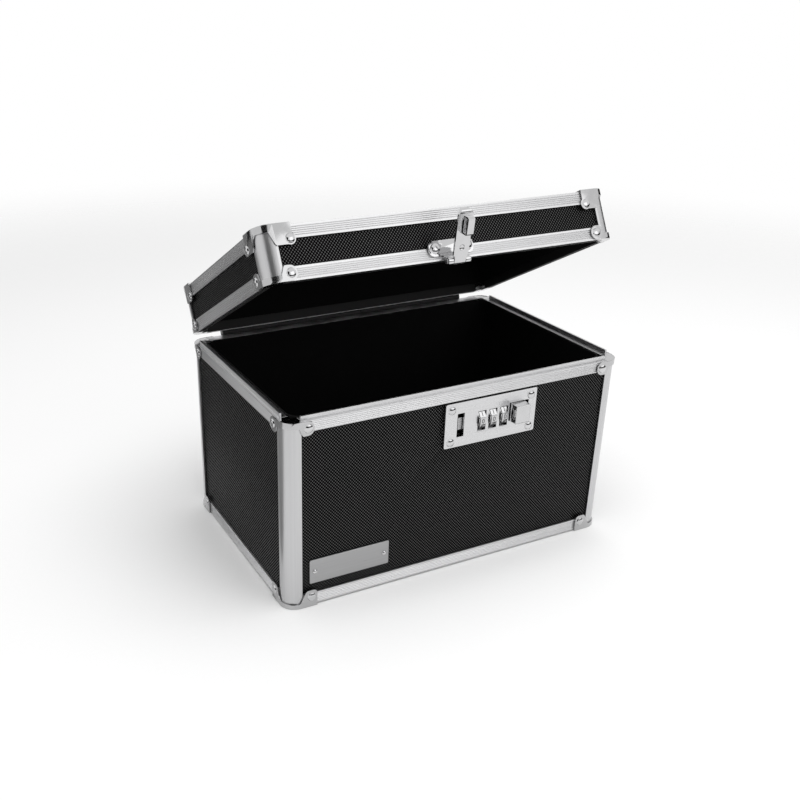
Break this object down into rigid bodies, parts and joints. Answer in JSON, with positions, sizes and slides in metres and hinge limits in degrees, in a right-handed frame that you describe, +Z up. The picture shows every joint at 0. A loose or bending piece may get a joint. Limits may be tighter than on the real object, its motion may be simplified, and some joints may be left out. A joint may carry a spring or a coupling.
{
  "type": "medication lock box",
  "caption": "Aluminium-edged lock box with a hinged lid standing open, a flip-down hasp and a combination lock with a slide button.",
  "frame": {"origin": "under the middle of the whole box as it stands open, on the plane it rests on", "axes": "+X to the right along the front, +Y from the front to the rear, +Z up"},
  "size_m": [0.2446, 0.1784, 0.2335],
  "materials": {
    "trim": "ribbed, satin",
    "post": "satin",
    "bracket": "bright",
    "bright": "bright",
    "plate": "satin",
    "steel": "plain",
    "casting": "as cast",
    "dial": "satin",
    "panel": "black textured film on board",
    "lining": "matt black"
  },
  "bodies": {
    "case": {"front_panel": "panel", "rear_panel": "panel", "left_panel": "panel", "right_panel": "panel", "bottom_panel": "panel", "case_rim_front": "trim", "case_rim_rear": "trim", "case_rim_left": "trim", "case_rim_right": "trim", "base_trim": "trim", "case_post_front_left": "post", "case_post_front_right": "post", "case_post_rear_left": "post", "case_post_rear_right": "post", "case_rim_corner_front_left": "bracket", "case_rim_corner_front_right": "bracket", "case_rim_corner_rear_left": "bracket", "case_rim_corner_rear_right": "bracket", "base_corner_front_left": "bracket", "base_corner_front_right": "bracket", "base_corner_rear_left": "bracket", "base_corner_rear_right": "bracket", "case_lining": "lining", "lock_plate": "plate", "lock_housing": "casting", "dial_axle": "steel", "bolt_spring": "steel", "hinge_case_leaf": "trim", "hinge_pin": "steel"},
    "lid": {"lid_top_panel": "panel", "lid_walls": "panel", "lid_rim_front": "trim", "lid_rim_rear": "trim", "lid_rim_left": "trim", "lid_rim_right": "trim", "lid_top_trim": "trim", "lid_post_front_left": "post", "lid_post_front_right": "post", "lid_post_rear_left": "post", "lid_post_rear_right": "post", "lid_rim_corner_front_left": "bracket", "lid_rim_corner_front_right": "bracket", "lid_rim_corner_rear_left": "bracket", "lid_rim_corner_rear_right": "bracket", "lid_top_corner_front_left": "bracket", "lid_top_corner_front_right": "bracket", "lid_top_corner_rear_left": "bracket", "lid_top_corner_rear_right": "bracket", "lid_lining": "lining", "hinge_lid_leaf": "trim", "hasp_base": "bright", "hasp_pin": "steel"},
    "hasp": {"hasp_arm": "bright"},
    "dial_1": {"dial_1": "dial"},
    "dial_2": {"dial_2": "dial"},
    "dial_3": {"dial_3": "dial"},
    "slide_button": {"slide_button": "bright", "lock_bolt": "steel"}
  },
  "joints": [
    {"name": "lid_hinge", "type": "hinge", "parent": "case", "child": "lid", "pos_m": [0, 0.07542, 0.1263], "axis": [-1, 0, 0], "range_deg": [-28.3, 67]},
    {"name": "hasp_hinge", "type": "hinge", "parent": "lid", "child": "hasp", "pos_m": [0, -0.06689, 0.20202], "axis": [-1, 0, 0], "range_deg": [-145, 34]},
    {"name": "dial_1_spin", "type": "hinge", "parent": "case", "child": "dial_1", "pos_m": [0.0137, -0.07638, 0.1022], "axis": [1, 0, 0], "continuous": true},
    {"name": "dial_2_spin", "type": "hinge", "parent": "case", "child": "dial_2", "pos_m": [0.0219, -0.07638, 0.1022], "axis": [1, 0, 0], "continuous": true},
    {"name": "dial_3_spin", "type": "hinge", "parent": "case", "child": "dial_3", "pos_m": [0.0301, -0.07638, 0.1022], "axis": [1, 0, 0], "continuous": true},
    {"name": "button_slide", "type": "slide", "parent": "case", "child": "slide_button", "axis": [1, 0, 0], "range_m": [0, 0.0032], "stiffness_N_per_m": 600, "springref_m": -0.002, "deforming": ["bolt_spring"]}
  ]
}
